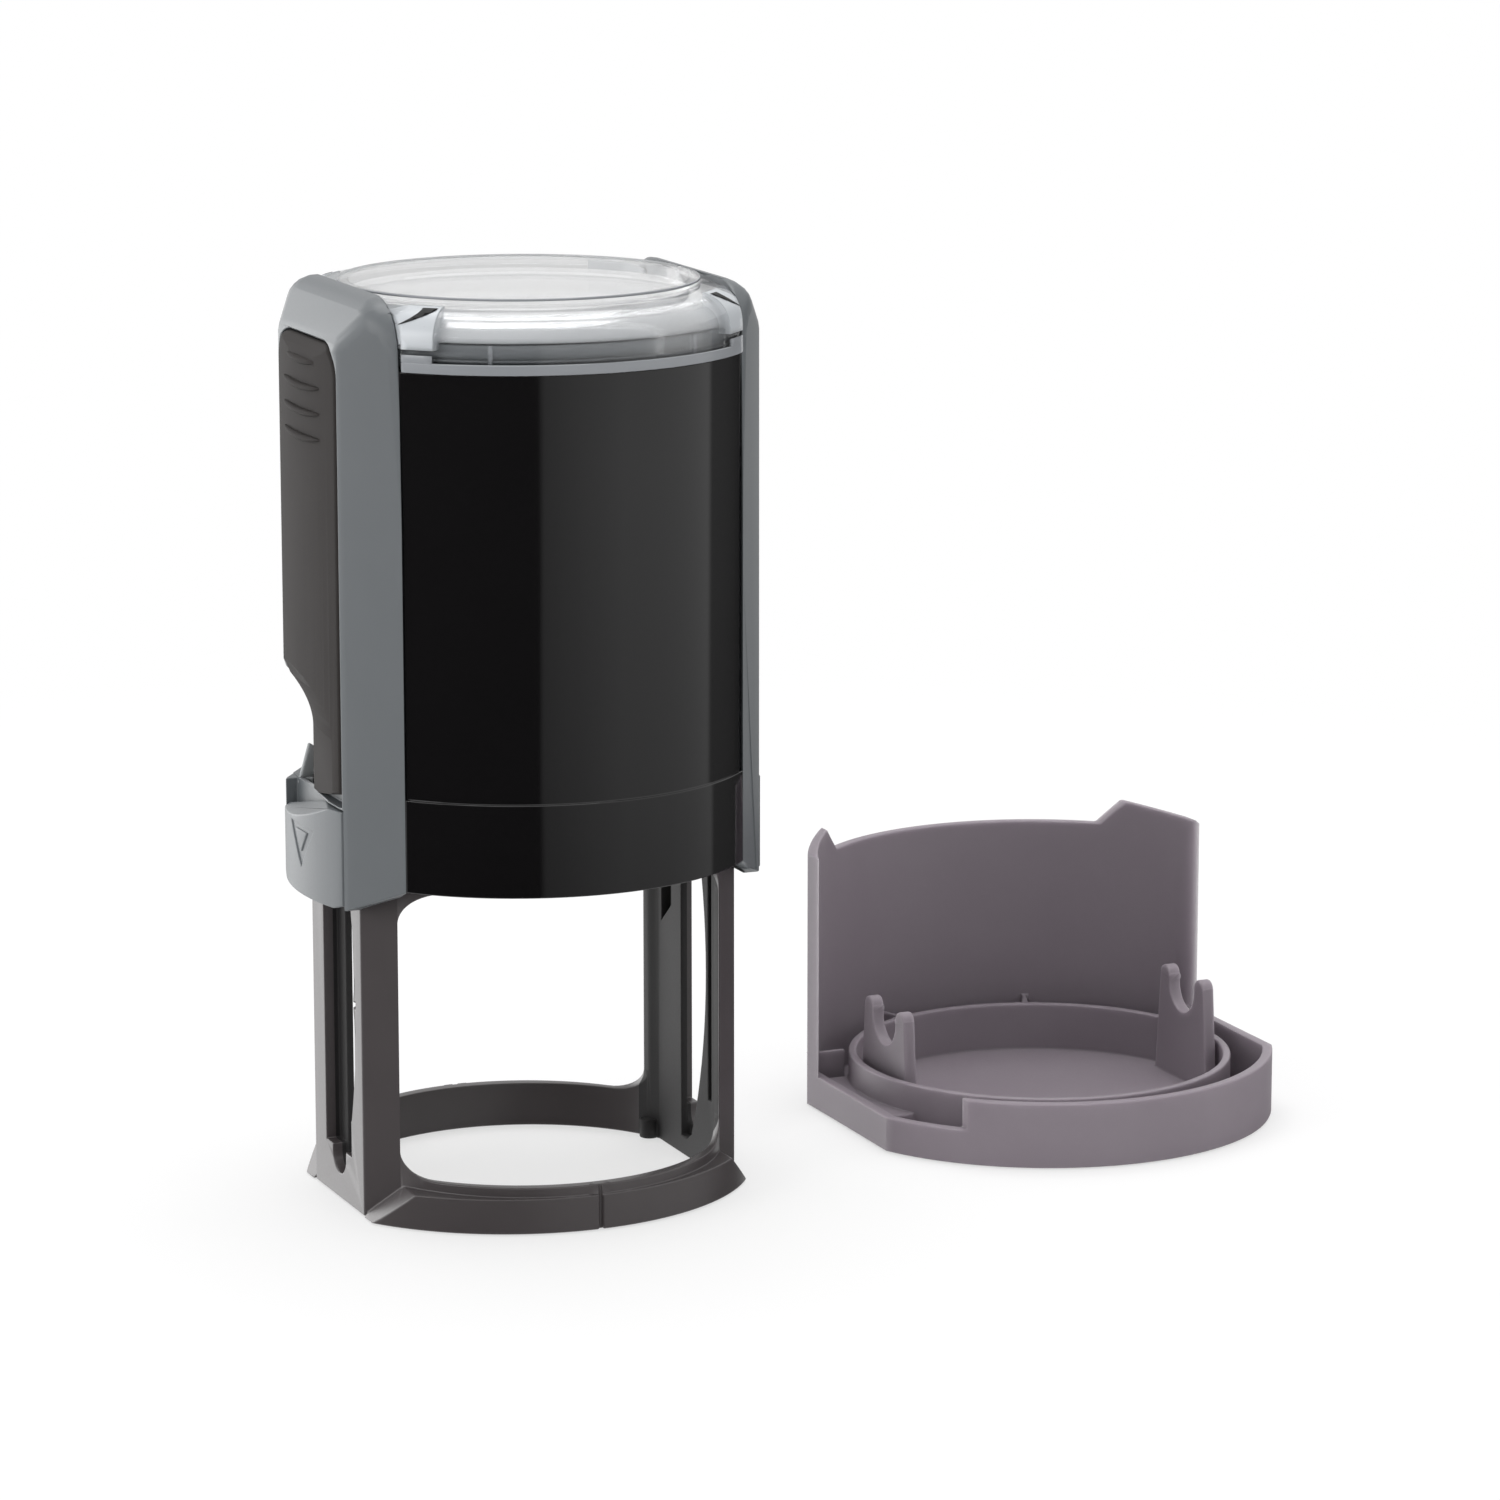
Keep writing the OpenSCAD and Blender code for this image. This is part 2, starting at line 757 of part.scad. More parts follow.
module yoke() {
    gusset = 2;
    gusset_y = 3;
    gusset_t = 1.2;
    cross_w = 18;
    hub_r = 13;
    color([0.3, 0.3, 0.31]) difference() {
        union() {
            translate([0, 0, yoke_z]) linear_extrude(yoke_t) intersection() {
                square([2 * (cheek_in - 0.15), cross_w], center = true);
                circle(casing_in - 0.2);
            }
            disc(hub_r, yoke_z, yoke_z + yoke_t);
            disc(cup_r + cup_wall, yoke_z, cup_top);
            both_sides() {
                along_x(arm_x, arm_x + arm_t) {
                    span(-arm_w / 2, axle_z - arm_foot, arm_w / 2, yoke_z + 0.1);
                    translate([0, axle_z - tongue_reach + tongue_w / 2]) circle(tongue_w / 2);
                    span(-tongue_w / 2, axle_z - tongue_reach + tongue_w / 2,
                         tongue_w / 2, axle_z);
                }
                // gussets between the plate and the arms
                for (s = [-1, 1]) along_y(s * gusset_y - gusset_t / 2, s * gusset_y + gusset_t / 2)
                    polygon([[arm_x - gusset, yoke_z + 0.1], [arm_x + 0.1, yoke_z + 0.1],
                             [arm_x + 0.1, yoke_z - gusset]]);
            }
        }
        disc(cup_r, yoke_z - 1, cup_top - cup_wall);
        rotate([0, 90, 0]) translate([-axle_z, 0, -far]) cylinder(r = axle_r + fit, h = 2 * far);
    }
}

// the coil is one closed tube swept along a helix
function coil_point(a) = [spring_r * cos(a), spring_r * sin(a),
                          spring_low + (spring_high - spring_low) * a / (360 * spring_turns)];

module return_spring() {
    sides = 6;
    per_turn = 20;
    rings = per_turn * spring_turns;
    lean = atan((spring_high - spring_low) / (2 * PI * spring_r * spring_turns));
    color([0.75, 0.75, 0.77]) polyhedron(
        points = [for (i = [0:rings]) let (a = 360 * i / per_turn) for (j = [0:sides - 1])
            let (b = 360 * j / sides, u = wire_r * cos(b), v = wire_r * sin(b))
            coil_point(a) + u * [cos(a), sin(a), 0]
            + v * [sin(lean) * sin(a), -sin(lean) * cos(a), cos(lean)]],
        faces = concat(
            [[for (j = [0:sides - 1]) j]],
            [for (i = [0:rings - 1], j = [0:sides - 1]) let (k = (j + 1) % sides)
                [i * sides + j, (i + 1) * sides + j, (i + 1) * sides + k, i * sides + k]],
            [[for (j = [sides - 1:-1:0]) rings * sides + j]]));
}

// ---------- turning plate ----------

// everything on the turning plate is drawn about the axle, then lifted to it
module at_axle() {
    translate([0, 0, axle_z]) children();
}

module plate_holder() {
    ear_half = 2.9;
    rib_z = holder_top - holder_t - 1.6;
    rib_half = plate_r - 5.5;
    rib_y = 8;
    rib_t = 1;
    color([0.85, 0.85, 0.83]) at_axle() difference() {
        union() {
            disc(holder_r, holder_top - holder_t, holder_top);
            intersection() {
                union() {
                    both_sides() along_x(ear_x - ear_t, ear_x) {
                        circle(axle_r + 1.4);
                        span(-ear_half, 0, ear_half, cam_r);
                        translate([0, cam_r]) circle(ear_half);
                    }
                    rotate([0, 90, 0]) translate([0, 0, -ear_x])
                        cylinder(r = axle_r + 1.2, h = 2 * ear_x);
                    for (s = [-1, 1]) translate([0, s * rib_y, rib_z + 1])
                        cube([2 * rib_half, rib_t, 2], center = true);
                    translate([0, 0, rib_z + 1]) cube([rib_t, 2 * rib_half, 2], center = true);
                }
                translate([0, 0, -far]) cylinder(r = ear_x + 1, h = 2 * far);
            }
        }
        rotate([0, 90, 0]) translate([0, 0, -far]) cylinder(r = axle_r + 0.02, h = 2 * far);
        both_sides() translate([pin_x, 0, cam_r]) rotate([0, 90, 0])
            cylinder(r = cam_pin_r + 0.02, h = far);
        disc(pin_x, holder_top, far);
    }
}

module plate_axle() {
    reach = arm_x + arm_t;
    color([0.75, 0.75, 0.77]) at_axle() rotate([0, 90, 0]) translate([0, 0, -reach])
        cylinder(r = axle_r, h = 2 * reach);
}

module cam_pins() {
    color([0.75, 0.75, 0.77]) at_axle() both_sides() translate([pin_x, 0, cam_r])
        rotate([0, 90, 0]) cylinder(r = cam_pin_r, h = channel_x - lay - pin_x);
}

module foam_cushion() {
    color([0.9, 0.88, 0.8]) at_axle() disc(plate_r, holder_top, holder_top + foam_t);
}

module text_plate() {
    low = face_r - relief_h;
    sunk = low - 0.1;
    bar_x = 8;
    bar_y = 1.5;
    color([0.65, 0.25, 0.2]) at_axle() {
        disc(plate_r, holder_top + foam_t, low);
        // generic pattern: two rings, a row of dots between them, and a bar in the middle
        ring(plate_r - 0.6, plate_r - 1.4, sunk, face_r);
        ring(plate_r - 7, plate_r - 7.6, sunk, face_r);
        for (a = [0:30:330]) rotate([0, 0, a]) translate([plate_r - 4.2, 0, 0])
            translate([0, 0, sunk]) cylinder(r = 1.2, h = face_r - sunk, $fn = 24);
        translate([-bar_x, -bar_y, sunk]) cube([2 * bar_x, 2 * bar_y, face_r - sunk]);
    }
}

// ---------- protective cap ----------

module cap_outline(inset) {
    intersection() {
        circle(cap_r - inset);
        square([2 * (cap_x - inset), far], center = true);
    }
}

// fork that holds the axle's ends when the cap is on, drawn as [y, z]
module fork_outline() {
    prong = 2.6;
    apart = 4.65;
    notch_z = 10.3;
    top_z = 15.5;
    difference() {
        polygon([[-apart - prong, 0], [apart + prong, 0], [apart + prong / 2, top_z - 1],
                 [-apart - prong / 2, top_z - 1]]);
        translate([0, notch_z + apart - prong / 2]) circle(apart - prong / 2);
        span(prong / 2 - apart, notch_z + apart - prong / 2, apart - prong / 2, top_z + 1);
    }
    for (s = [-1, 1]) translate([s * apart, top_z - prong / 2]) circle(prong / 2);
}

module protective_cap() {
    fork_x = inner_x - 0.3;
    fork_t = 1.6;
    tab_h = cap_back_h + 3.2;
    tab_x = 19;                             // where the back wall starts to rise to its corners
    low_h = cap_h - 3.8;
    low_x = 20.3;                           // the front wall is low up to here on the left
    low_y = 12;
    shelf_y = 10;
    rib_y = 11.6;
    color([0.42, 0.4, 0.42]) translate([cap_right, cap_back, 0]) {
        linear_extrude(cap_wall) cap_outline(0);
        // wall all round, lower on the left
        difference() {
            linear_extrude(cap_h) difference() {
                cap_outline(0);
                cap_outline(cap_wall);
            }
            translate([-far, -far, low_h]) cube([far - low_x, far + low_y, far]);
        }
        // shelf on the left, between the wall and the ridge
        linear_extrude(low_h - 0.6) difference() {
            intersection() {
                cap_outline(0.2);
                translate([-far, -shelf_y]) square([far - low_x, 2 * shelf_y]);
            }
            circle(cap_ridge_r - 0.5);
        }
        // ribs from the ridge to the flat sides
        for (s = [-1, 1]) translate([s * (cap_x - 2.6) - 2.5, rib_y, 0])
            cube([5, 0.8, cap_ridge_h - 0.6]);
        // ring ridge on the floor, with short ribs to the back wall
        ring(cap_ridge_r, cap_ridge_r - 1, cap_wall - 0.1, cap_ridge_h);
        for (a = [68, 112]) rotate([0, 0, a]) translate([cap_ridge_r - 0.3, -0.4, 0])
            cube([cap_r - cap_ridge_r - 0.5, 0.8, cap_ridge_h]);
        // curved back wall with raised corners
        intersection() {
            ring(cap_r, cap_r - cap_wall, 0, tab_h);
            along_y(0, far) polygon([[-cap_x, 0], [cap_x, 0], [cap_x, tab_h - 1.2],
                                     [tab_x + 2.5, tab_h], [tab_x, cap_back_h],
                                     [-tab_x, cap_back_h], [-tab_x - 2.5, tab_h],
                                     [-cap_x, tab_h - 1.2]]);
            translate([-far, 0, 0]) cube([2 * far, far, far]);
        }
        both_sides() translate([fork_x, 0, 0]) along_x(-fork_t / 2, fork_t / 2) fork_outline();
    }
}

base_frame();
frame_bridge();
anti_slip_feet();
ink_cartridge();
ink_felt();
cover_shell();
left_cheek();
right_cheek();
left_grip();
right_grip();
card_tray();
index_card();
clear_window();
yoke();
return_spring();
left_lock_button();
right_lock_button();
plate_holder();
plate_axle();
cam_pins();
foam_cushion();
text_plate();
protective_cap();
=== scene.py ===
"""Looks of a round self-inking stamp and its protective cap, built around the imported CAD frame."""
import json
import math

import bmesh
import bpy
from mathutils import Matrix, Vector


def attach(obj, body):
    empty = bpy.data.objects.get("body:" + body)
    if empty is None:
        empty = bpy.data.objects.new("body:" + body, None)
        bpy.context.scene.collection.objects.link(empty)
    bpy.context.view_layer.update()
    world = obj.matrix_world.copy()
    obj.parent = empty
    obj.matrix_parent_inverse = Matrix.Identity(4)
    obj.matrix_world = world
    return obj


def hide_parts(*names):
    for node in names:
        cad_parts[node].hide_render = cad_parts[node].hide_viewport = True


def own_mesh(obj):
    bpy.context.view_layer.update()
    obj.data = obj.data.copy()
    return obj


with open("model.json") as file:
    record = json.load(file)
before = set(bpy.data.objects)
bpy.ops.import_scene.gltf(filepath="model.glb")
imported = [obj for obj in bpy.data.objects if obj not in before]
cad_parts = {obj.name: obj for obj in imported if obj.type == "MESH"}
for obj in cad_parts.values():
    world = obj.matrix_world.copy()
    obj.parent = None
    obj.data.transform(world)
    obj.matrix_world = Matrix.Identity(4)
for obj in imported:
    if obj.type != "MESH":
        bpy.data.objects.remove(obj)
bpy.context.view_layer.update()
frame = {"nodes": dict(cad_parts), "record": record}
NODES = frame["nodes"]
MM = 0.001


# ---------- camera ----------

def place_camera():
    """Long lens from the front left, a little above; angles in degrees, lengths in metres."""
    azimuth, distance, height = math.radians(-20.89), 0.6851, 0.1966
    heading, pitch = math.radians(-23.19), math.radians(11.82)
    data = bpy.data.cameras.new("camera")
    data.sensor_width = 36
    data.lens = 138.95
    data.clip_start, data.clip_end = 0.01, 20
    camera = bpy.data.objects.new("camera", data)
    bpy.context.collection.objects.link(camera)
    camera.location = (math.sin(azimuth) * distance, -math.cos(azimuth) * distance, height)
    camera.rotation_euler = (math.pi / 2 - pitch, 0, heading)
    bpy.context.scene.camera = camera


place_camera()


# ---------- materials ----------

def linear(hex_colour):
    """An sRGB hex colour as linear red, green, blue and alpha."""
    parts = [int(hex_colour[i:i + 2], 16) / 255 for i in (1, 3, 5)]
    return [c / 12.92 if c <= 0.04045 else ((c + 0.055) / 1.055) ** 2.4 for c in parts] + [1.0]


def add(tree, kind, settings=None, **inputs):
    """Adds a node; inputs are values or output sockets, named or numbered (in_0) as on the node."""
    node = tree.nodes.new(kind)
    for name, value in (settings or {}).items():
        setattr(node, name, value)
    for name, value in inputs.items():
        socket = node.inputs[int(name[3:]) if name.startswith("in_") else name.replace("_", " ")]
        if isinstance(value, bpy.types.NodeSocket):
            tree.links.new(value, socket)
        else:
            socket.default_value = value
    return node


def new_material(name):
    """A material with one principled shader, its node tree and the shader."""
    material = bpy.data.materials.new(name)
    material.use_nodes = True
    tree = material.node_tree
    tree.nodes.clear()
    shader = add(tree, "ShaderNodeBsdfPrincipled")
    output = add(tree, "ShaderNodeOutputMaterial")
    tree.links.new(shader.outputs[0], output.inputs["Surface"])
    return material, tree, shader


def speckle(tree, size_mm, detail=3.0):
    """Fine noise whose grains are about size_mm across."""
    place = add(tree, "ShaderNodeTexCoord").outputs["Object"]
    return add(tree, "ShaderNodeTexNoise", Vector=place, Scale=1 / (size_mm * MM), Detail=detail)


def moulded(name, colour, light, rough, grain_mm, depth_mm, specular=0.5, through=0.0):
    """A moulded plastic or rubber: its colour drifts towards light in broad, faint clouds, and its
    surface has the grain of the tool it was moulded in; through is how far light soaks into it."""
    material, tree, shader = new_material(name)
    clouds = speckle(tree, 9.0, 2.0)
    mix = add(tree, "ShaderNodeMix", {"data_type": "RGBA"}, in_0=clouds.outputs["Fac"],
              in_6=linear(colour), in_7=linear(light))
    tree.links.new(mix.outputs[2], shader.inputs["Base Color"])
    grain = speckle(tree, grain_mm)
    span = add(tree, "ShaderNodeMapRange", Value=grain.outputs["Fac"], To_Min=rough - 0.05,
               To_Max=rough + 0.05)
    tree.links.new(span.outputs[0], shader.inputs["Roughness"])
    bump = add(tree, "ShaderNodeBump", Height=grain.outputs["Fac"], Distance=depth_mm * MM,
               Strength=1.0)
    tree.links.new(bump.outputs[0], shader.inputs["Normal"])
    shader.inputs["Specular IOR Level"].default_value = specular
    shader.inputs["IOR"].default_value = 1.53
    shader.inputs["Subsurface Weight"].default_value = through
    shader.inputs["Subsurface Radius"].default_value = (1.0, 1.0, 1.0)
    shader.inputs["Subsurface Scale"].default_value = 2.5 * MM
    return material


# polished ABS: black and mirror-smooth, so that the eye sees the lamps in it more than the colour
polished_black_abs = moulded("polished_black_abs", "#0b0a0b", "#0e0d0e", 0.07, 0.6, 0.0)
# satin ABS, through-coloured grey: even, a little blue, soft highlights on its edges
satin_grey_abs = moulded("satin_grey_abs", "#5a5e61", "#5e6265", 0.42, 0.25, 0.004)
# soft-touch TPE: near black, matt and slightly dusty, hardly any highlight
soft_touch_tpe = moulded("soft_touch_tpe", "#2b2827", "#312e2d", 0.7, 0.18, 0.01, 0.1)
# glass-filled ABS of the inner pieces: warm black with a low sheen
satin_black_abs = moulded("satin_black_abs", "#393536", "#3e3a3b", 0.36, 0.25, 0.004)
# the same ABS on the frame, a little smoother: the light lifts its outside to brown-grey, and
# painted shade darkens its inner sides below
satin_frame_abs = moulded("satin_frame_abs", "#3f3a3b", "#454041", 0.33, 0.25, 0.004, 0.6)
# smoke-grey styrene of the cap: mauve-grey, a little translucent, which flattens its shadows
smoke_grey_styrene = moulded("smoke_grey_styrene", "#867d85", "#8b838a", 0.45, 0.3, 0.003, 0.25,
                             0.7)
# natural white acetal of the plate holder: milky, a bit waxy
white_acetal = moulded("white_acetal", "#d6d4cc", "#dddbd3", 0.35, 0.3, 0.002)
# laser-cut rubber of the text plate: brick red, matt, with a fine burnt grain
laser_cut_rubber = moulded("laser_cut_rubber", "#8c4137", "#96493d", 0.7, 0.12, 0.012, 0.3)
# closed-cell foam: cream, with cells that show as a fine pitting
closed_cell_foam = moulded("closed_cell_foam", "#d8d2bf", "#ded8c6", 0.85, 0.4, 0.05, 0.2)
# nitrile feet: black, matt
nitrile_rubber = moulded("nitrile_rubber", "#1c1c1c", "#222222", 0.7, 0.2, 0.01, 0.3)
# felt soaked with blue-black ink: dark and fibrous, half wet
inked_felt = moulded("inked_felt", "#171726", "#20202f", 0.55, 0.15, 0.06, 0.4)
# lightly frosted styrene of the window's clips and foot: milky and pale where light gathers in it
frosted_styrene = moulded("frosted_styrene", "#b2b6ba", "#bbbfc3", 0.3, 0.4, 0.002, 0.6)
# the same plastic over the grey tray: it darkens to a milky grey
smoky_styrene = moulded("smoky_styrene", "#84878b", "#8c8f93", 0.25, 0.4, 0.002, 0.6)
# satin grey ABS where it is so thin that light comes through: its colour is painted lighter as
# painted light, and some light also soaks into it
thin_abs_painted_lighter = moulded("thin_abs_painted_lighter", "#8f9394", "#979b9c", 0.5, 0.25, 0.004, 0.5, 0.4)
# coated card: white, very smooth
white_card = moulded("white_card", "#e4e4e4", "#e8e8e8", 0.5, 0.3, 0.001, 0.4)
# a greyer copy of the card, bent down under the round shoulder: its pale grey stands in for the
# overhead light's reflection in the shoulder, a painted reflection
reflection_painted_card = moulded("reflection_painted_card", "#b9bbbd", "#bec0c2", 0.5, 0.3, 0.001, 0.2)


def drawn_steel():
    """Bright wire: grey metal with fine marks along it."""
    material, tree, shader = new_material("drawn_steel")
    marks = speckle(tree, 0.15)
    shader.inputs["Base Color"].default_value = linear("#b9babd")
    shader.inputs["Metallic"].default_value = 1.0
    span = add(tree, "ShaderNodeMapRange", Value=marks.outputs["Fac"], To_Min=0.22, To_Max=0.34)
    tree.links.new(span.outputs[0], shader.inputs["Roughness"])
    return material


UNBENT_SHARE = 0.45


def clear_styrene():
    """Polished clear styrene of the window: colourless, glossy, bright and grey lined where it is
    thick; light goes through it to what lies below."""
    material, tree, shader = new_material("clear_styrene")
    shader.inputs["Base Color"].default_value = linear("#f6f8fa")
    shader.inputs["Transmission Weight"].default_value = 1.0
    shader.inputs["IOR"].default_value = 1.59
    shader.inputs["Coat Weight"].default_value = 0.3
    shader.inputs["Coat IOR"].default_value = 1.8
    shader.inputs["Coat Roughness"].default_value = 0.03
    haze = speckle(tree, 0.8)
    span = add(tree, "ShaderNodeMapRange", Value=haze.outputs["Fac"], To_Min=0.02, To_Max=0.05)
    tree.links.new(span.outputs[0], shader.inputs["Roughness"])
    path = add(tree, "ShaderNodeLightPath")
    soft = add(tree, "ShaderNodeMath", {"operation": "MAXIMUM"},
               in_0=path.outputs["Is Shadow Ray"], in_1=path.outputs["Is Diffuse Ray"])
    # the window is thin: much of what it shows comes straight through, unbent
    share = add(tree, "ShaderNodeMath", {"operation": "MAXIMUM"}, in_0=soft.outputs[0],
                in_1=UNBENT_SHARE)
    through = add(tree, "ShaderNodeBsdfTransparent", Color=linear("#f9f9f9"))
    mix = add(tree, "ShaderNodeMixShader", in_0=share.outputs[0], in_1=shader.outputs[0],
              in_2=through.outputs[0])
    tree.links.new(mix.outputs[0], tree.nodes["Material Output"].inputs["Surface"])
    return material


def painted_shade_and_matt_inside(material):
    """Paints shade on the inner sides of the frame's legs: their colour goes near black as painted
    shade, and they are duller than its polished outside.
    """
    tree = material.node_tree
    shader = tree.nodes["Principled BSDF"]
    place = add(tree, "ShaderNodeTexCoord").outputs["Object"]
    axes = add(tree, "ShaderNodeSeparateXYZ", Vector=place)
    wide, deep = (add(tree, "ShaderNodeMath", {"operation": "ABSOLUTE"},
                      in_0=axes.outputs[axis]).outputs[0] for axis in ("X", "Y"))
    # inner faces lie nearer than 22.9 mm; a leg's slanting flanks have wide + deep = 32.85 mm
    both = add(tree, "ShaderNodeMath", {"operation": "ADD"}, in_0=wide, in_1=deep).outputs[0]
    inside = 1.0
    for value, limit in ((wide, 22.9), (deep, 12.0), (both, 32.6)):
        near = add(tree, "ShaderNodeMath", {"operation": "LESS_THAN"}, in_0=value,
                   in_1=limit * MM)
        inside = add(tree, "ShaderNodeMath", {"operation": "MULTIPLY"}, in_0=near.outputs[0],
                     in_1=inside).outputs[0]
    colour = shader.inputs["Base Color"].links[0].from_socket
    # painted shade: the inner sides are mixed towards near black
    mix = add(tree, "ShaderNodeMix", {"data_type": "RGBA"}, in_0=inside, in_6=colour,
              in_7=linear("#141213"))
    tree.links.new(mix.outputs[2], shader.inputs["Base Color"])
    rough = shader.inputs["Roughness"].links[0].from_socket
    dull = add(tree, "ShaderNodeMath", {"operation": "MULTIPLY_ADD"}, in_0=inside,
               in_1=0.4, in_2=rough)
    tree.links.new(dull.outputs[0], shader.inputs["Roughness"])
    return material


painted_shade_and_matt_inside(satin_frame_abs)
STEEL, CLEAR = drawn_steel(), clear_styrene()
FINISH = {
    "base_frame": satin_frame_abs, "frame_bridge": satin_black_abs,
    "anti_slip_feet": nitrile_rubber, "ink_cartridge": satin_black_abs,
    "ink_felt": inked_felt, "cover_shell": polished_black_abs,
    "left_cheek": satin_grey_abs, "right_cheek": satin_grey_abs,
    "left_grip": soft_touch_tpe, "right_grip": soft_touch_tpe,
    "card_tray": satin_grey_abs, "index_card": white_card, "clear_window": CLEAR,
    "yoke": satin_black_abs, "return_spring": STEEL,
    "left_lock_button": satin_grey_abs, "right_lock_button": satin_grey_abs,
    "plate_holder": white_acetal, "plate_axle": STEEL, "cam_pins": STEEL,
    "foam_cushion": closed_cell_foam, "text_plate": laser_cut_rubber,
    "protective_cap": smoke_grey_styrene,
}
BODIES = {node: body for body, nodes in frame["record"]["behaviour"]["bodies"].items()
          for node in nodes}

for name, material in FINISH.items():
    mesh = NODES[name].data
    mesh.materials.clear()
    mesh.materials.append(material)


# ---------- rounding off the moulded parts ----------

def finish_piece(name, shape, material, body, node=None):
    """Turns a bmesh into a smooth-shaded piece that rides on a body."""
    mesh = bpy.data.meshes.new(name)
    shape.to_mesh(mesh)
    shape.free()
    mesh.shade_smooth()
    mesh.materials.append(material)
    piece = bpy.data.objects.new(name, mesh)
    bpy.context.collection.objects.link(piece)
    normals = piece.modifiers.new("even_normals", "WEIGHTED_NORMAL")
    normals.keep_sharp = True
    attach(piece, body)
    if node:
        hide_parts(node)
    return piece


def has_room(edge, radius):
    """True where the faces beside an edge are wide enough for a rounding of this radius."""
    for vert in edge.verts:
        along = (edge.other_vert(vert).co - vert.co).normalized()
        for other in vert.link_edges:
            if other is edge or not any(face in other.link_faces for face in edge.link_faces):
                continue
            way = other.other_vert(vert).co - vert.co
            if way.length < 1.5 * radius and abs(way.normalized().dot(along)) < 0.85:
                return False
    return True


# ---------- convex blanks with round edges ----------

BLANK_SIZE = 0.4    # metres; larger than any piece, so that its own faces never show


def keep_behind(shape, planes):
    """Cuts a solid back to what lies behind some planes, and closes the cuts."""
    for point, normal in planes:
        cut = bmesh.ops.bisect_plane(shape, geom=shape.verts[:] + shape.edges[:] + shape.faces[:],
                                     dist=1e-8, plane_co=Vector(point) * MM, plane_no=normal,
                                     clear_outer=True)
        rim = [item for item in cut["geom_cut"] if isinstance(item, bmesh.types.BMEdge)]
        if rim:
            bmesh.ops.edgeloop_fill(shape, edges=rim)
    bmesh.ops.recalc_face_normals(shape, faces=shape.faces)
    return shape


def behind(planes):
    """The convex solid behind a set of planes, each a point and an outward normal, in mm."""
    shape = bmesh.new()
    bmesh.ops.create_cube(shape, size=BLANK_SIZE)
    return keep_behind(shape, planes)


def ball_hull(middles, radius, subdivisions):
    """The convex hull of balls of a radius in mm; middles in metres."""
    shape = bmesh.new()
    for middle in middles:
        ball = bmesh.ops.create_icosphere(shape, subdivisions=subdivisions, radius=radius * MM)
        bmesh.ops.translate(shape, verts=ball["verts"], vec=middle)
    bmesh.ops.delete(shape, geom=shape.edges[:], context="EDGES_FACES")
    bmesh.ops.convex_hull(shape, input=shape.verts)
    loose = [vert for vert in shape.verts if not vert.link_faces]
    bmesh.ops.delete(shape, geom=loose, context="VERTS")
    bmesh.ops.recalc_face_normals(shape, faces=shape.faces)
    return shape


def rounded(planes, radius):
    """The same solid with every edge rounded to a radius in mm: a ball rolled round a core."""
    core = behind([(Vector(point) - radius * Vector(normal).normalized(), normal)
                   for point, normal in planes])
    shape = ball_hull([vert.co for vert in core.verts], radius, 3)
    core.free()
    return shape


def arc_planes(middle, radius, first, last, count, place):
    """Planes that touch an arc; place turns an angle's cosine and sine into a direction."""
    rows = []
    for step in range(count):
        angle = math.radians(first + (last - first) * step / (count - 1))
        way = Vector(place(math.cos(angle), math.sin(angle)))
        rows.append((Vector(middle) + radius * way, way))
    return rows


def for_side(side, planes):
    """Planes of a right-hand part, mirrored where side is -1, the left."""
    return [((side * point[0], point[1], point[2]), (side * normal[0], normal[1], normal[2]))
            for point, normal in planes]


def trimmed(solid, blank):
    """The part of one closed bmesh that lies inside another, both used up."""
    pair = []
    for label, shape in (("trimmed", solid), ("blank", blank)):
        mesh = bpy.data.meshes.new(label)
        shape.to_mesh(mesh)
        shape.free()
        pair.append(bpy.data.objects.new(label, mesh))
        bpy.context.collection.objects.link(pair[-1])
    cut = pair[0].modifiers.new("inside", "BOOLEAN")
    cut.operation, cut.solver, cut.object = "INTERSECT", "EXACT", pair[1]
    seen = pair[0].evaluated_get(bpy.context.evaluated_depsgraph_get())
    result = bmesh.new()
    result.from_mesh(seen.to_mesh())
    for item in pair:
        mesh = item.data
        bpy.data.objects.remove(item)
        bpy.data.meshes.remove(mesh)
    return result


# ---------- moulded parts ----------

SHARP = math.radians(30)    # edges that turn less than this stay as they are


def cad_copy(node):
    """A node's mesh with its corners joined up."""
    shape = bmesh.new()
    shape.from_mesh(NODES[node].data)
    bmesh.ops.remove_doubles(shape, verts=shape.verts, dist=1e-6)
    return shape


def soften(shape, radius):
    """Rounds every sharp edge that has room for it, to a radius in mm."""
    edges = [edge for edge in shape.edges if edge.is_manifold
             and edge.calc_face_angle() > SHARP and has_room(edge, radius * MM)]
    bmesh.ops.bevel(shape, geom=edges, offset=radius * MM, offset_type="OFFSET", affect="EDGES",
                    segments=2, profile=0.5, material=-1, clamp_overlap=False)


def cad_piece(node, shape):
    """A piece that stands for one CAD node."""
    return finish_piece(node + "_moulded", shape, FINISH[node], BODIES[node], node)


# places in the CAD model, in mm
PANEL_X, CHEEK_X, CHEEK_HALF, PANEL_Y = 21.4, 26.8, 10.5, 17.74
CHAMFER_X, CHAMFER_Z, CASING_TOP, SHOULDER_R = 23.1, 105.5, 110.9, 7.2
GRIP_TOP, GRIP_HALF, GRIP_CROWN = 105.3, 10.2, 0.7
LEDGE, LEDGE_UP = (26.9, 0, 48.8), (0.55, 0.17, 0.8)
BUTTON_R, BUTTON_BULGE, ARROW_DEPTH = 34.6, 1.6, 0.19
SHOULDER_MIDDLE, SHOULDER_STEPS = (23.8, 106.2), 8
CLIP_CORNER_R, CLIP_CORNER_ANGLE = 28.1, math.radians(43)
